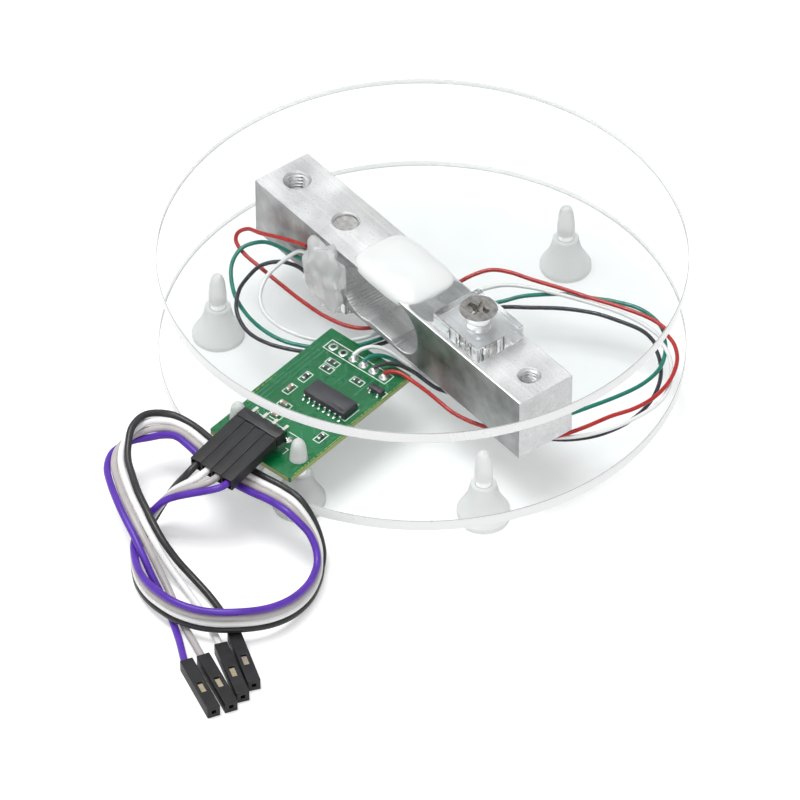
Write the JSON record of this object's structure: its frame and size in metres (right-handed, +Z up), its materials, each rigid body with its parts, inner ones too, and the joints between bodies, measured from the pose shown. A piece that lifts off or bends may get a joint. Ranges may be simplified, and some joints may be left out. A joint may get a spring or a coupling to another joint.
{
  "type": "load cell",
  "caption": "bending beam load cell between two round clear plates on rubber feet, with a converter board and jumper leads",
  "frame": {"origin": "on the floor, on the axis of the two round plates", "axes": "X along the sensor beam, Z up, the circuit board and the jumper leads toward -Y"},
  "size_m": [0.1, 0.1376, 0.0334],
  "materials": {
    "clear_sheet": "polished",
    "beam_aluminium": "saw cut, scuffed",
    "gauge_foil": "thin foil",
    "white_sealant": "glossy",
    "cloudy_sealant": "glossy",
    "spacer_clear": "polished",
    "screw_steel": "plated",
    "foot_rubber": "translucent",
    "board_green": "solder mask",
    "chip_plastic": "moulded",
    "solder_tin": "tinned",
    "resistor_glaze": "glazed",
    "capacitor_ceramic": "fired ceramic",
    "socket_plastic": "moulded",
    "pin_gold": "plated",
    "jacket_black": "smooth",
    "jacket_white": "smooth",
    "jacket_grey": "smooth",
    "jacket_purple": "smooth",
    "lead_jacket_red": "smooth",
    "lead_jacket_white": "smooth",
    "lead_jacket_green": "smooth",
    "lead_jacket_black": "smooth"
  },
  "bodies": {
    "root": {"base_plate": "clear_sheet", "top_plate": "clear_sheet", "sensor_beam": "beam_aluminium", "strain_gauges": "gauge_foil", "sealant_top": "white_sealant", "sealant_bottom": "white_sealant", "lead_sealant": "cloudy_sealant", "top_spacer": "spacer_clear", "base_spacer": "spacer_clear", "top_screw": "screw_steel", "base_screw": "screw_steel", "plate_foot_right": "foot_rubber", "plate_foot_back": "foot_rubber", "plate_foot_left": "foot_rubber", "board_foot_right": "foot_rubber", "board_foot_left": "foot_rubber", "circuit_board": "board_green", "converter_chip": "chip_plastic", "chip_legs": "solder_tin", "transistor": "chip_plastic", "transistor_legs": "solder_tin", "resistors": "resistor_glaze", "capacitors": "capacitor_ceramic", "part_caps": "solder_tin", "lead_joints": "solder_tin", "pin_joints": "solder_tin", "header_strip": "socket_plastic", "header_pins": "pin_gold", "plug_black": "socket_plastic", "plug_white": "socket_plastic", "plug_grey": "socket_plastic", "plug_purple": "socket_plastic", "plug_contacts": "pin_gold", "loose_black": "socket_plastic", "loose_white": "socket_plastic", "loose_grey": "socket_plastic", "loose_purple": "socket_plastic", "loose_contacts": "pin_gold", "jumper_black": "jacket_black", "jumper_white": "jacket_white", "jumper_grey": "jacket_grey", "jumper_purple": "jacket_purple", "lead_red": "lead_jacket_red", "lead_white": "lead_jacket_white", "lead_green": "lead_jacket_green", "lead_black": "lead_jacket_black"}
  },
  "joints": []
}
